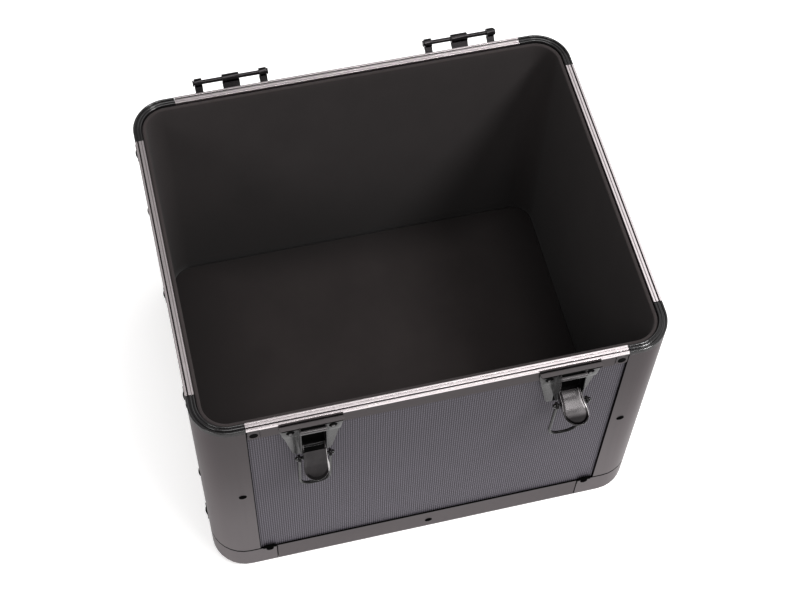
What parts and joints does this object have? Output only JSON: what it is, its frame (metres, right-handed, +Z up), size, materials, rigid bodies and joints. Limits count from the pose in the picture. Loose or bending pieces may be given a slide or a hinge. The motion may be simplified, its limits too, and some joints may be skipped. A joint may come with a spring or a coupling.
{
  "type": "record carrying case",
  "caption": "Aluminium-trimmed carrying case for upright records, shown without its lift-off lid, with draw latches that lift, loose bails and hinge halves behind.",
  "frame": {"origin": "middle of the bounding box at the height where the feet stand", "axes": "+X to the right along the front, +Y from the latches towards the hinges, +Z up"},
  "size_m": [0.358, 0.3473, 0.2555],
  "materials": {
    "panel": "dark grey with a fine embossed grid",
    "grey_trim": "dark anodised, satin",
    "bright_trim": "bright, ridged",
    "rim_corner": "glossy black",
    "latch_steel": "black nickel, polished",
    "lining": "matte black",
    "floor": "plain plywood",
    "foot": "matte black"
  },
  "bodies": {
    "case": {"floor_board": "floor", "front_board": "panel", "back_board": "panel", "left_board": "panel", "right_board": "panel", "post_front_left": "grey_trim", "post_front_right": "grey_trim", "post_back_left": "grey_trim", "post_back_right": "grey_trim", "rim_rail_front": "bright_trim", "rim_rail_back": "bright_trim", "rim_rail_left": "bright_trim", "rim_rail_right": "bright_trim", "top_strip_front": "grey_trim", "top_strip_back": "grey_trim", "top_strip_left": "grey_trim", "top_strip_right": "grey_trim", "rim_corner_front_left": "rim_corner", "rim_corner_front_right": "rim_corner", "rim_corner_back_left": "rim_corner", "rim_corner_back_right": "rim_corner", "bottom_band_front": "grey_trim", "bottom_band_back": "grey_trim", "bottom_band_left": "grey_trim", "bottom_band_right": "grey_trim", "bottom_corner_front_left": "grey_trim", "bottom_corner_front_right": "grey_trim", "bottom_corner_back_left": "grey_trim", "bottom_corner_back_right": "grey_trim", "lining_walls": "lining", "lining_floor": "lining", "foot_front_left": "foot", "foot_front_right": "foot", "foot_back_left": "foot", "foot_back_right": "foot", "hinge_leaf_left": "latch_steel", "hinge_leaf_right": "latch_steel", "hinge_rod_left": "latch_steel", "hinge_rod_right": "latch_steel", "latch_plate_left": "latch_steel", "latch_plate_right": "latch_steel", "lever_pin_left": "latch_steel", "lever_pin_right": "latch_steel"},
    "left_lever": {"latch_lever_left": "latch_steel"},
    "left_bail_pin": {"bail_pin_left": "latch_steel"},
    "left_bail": {"latch_bail_left": "latch_steel"},
    "right_lever": {"latch_lever_right": "latch_steel"},
    "right_bail_pin": {"bail_pin_right": "latch_steel"},
    "right_bail": {"latch_bail_right": "latch_steel"}
  },
  "joints": [
    {"name": "left_lever_lift", "type": "hinge", "parent": "case", "child": "left_lever", "pos_m": [-0.0944, -0.14299, 0.2175], "axis": [-1, 0, 0], "range_deg": [0, 100]},
    {"name": "left_bail_pin_turn", "type": "hinge", "parent": "left_lever", "child": "left_bail_pin", "pos_m": [-0.0944, -0.14806, 0.20853], "axis": [-1, 0, 0], "range_deg": [-100, 0]},
    {"name": "left_bail_swing", "type": "hinge", "parent": "left_bail_pin", "child": "left_bail", "pos_m": [-0.0944, -0.14806, 0.20853], "axis": [-1, 0, 0], "range_deg": [-3.5, 185]},
    {"name": "right_lever_lift", "type": "hinge", "parent": "case", "child": "right_lever", "pos_m": [0.0968, -0.14299, 0.2175], "axis": [-1, 0, 0], "range_deg": [-64, 36]},
    {"name": "right_bail_pin_turn", "type": "hinge", "parent": "right_lever", "child": "right_bail_pin", "pos_m": [0.0968, -0.15327, 0.21813], "axis": [-1, 0, 0], "range_deg": [-36, 64]},
    {"name": "right_bail_swing", "type": "hinge", "parent": "right_bail_pin", "child": "right_bail", "pos_m": [0.0968, -0.15327, 0.21813], "axis": [-1, 0, 0], "range_deg": [-4.5, 184]}
  ],
  "couplings": [
    {"joint": "left_bail_pin_turn", "follows": "left_lever_lift", "ratio": -1},
    {"joint": "right_bail_pin_turn", "follows": "right_lever_lift", "ratio": -1}
  ]
}
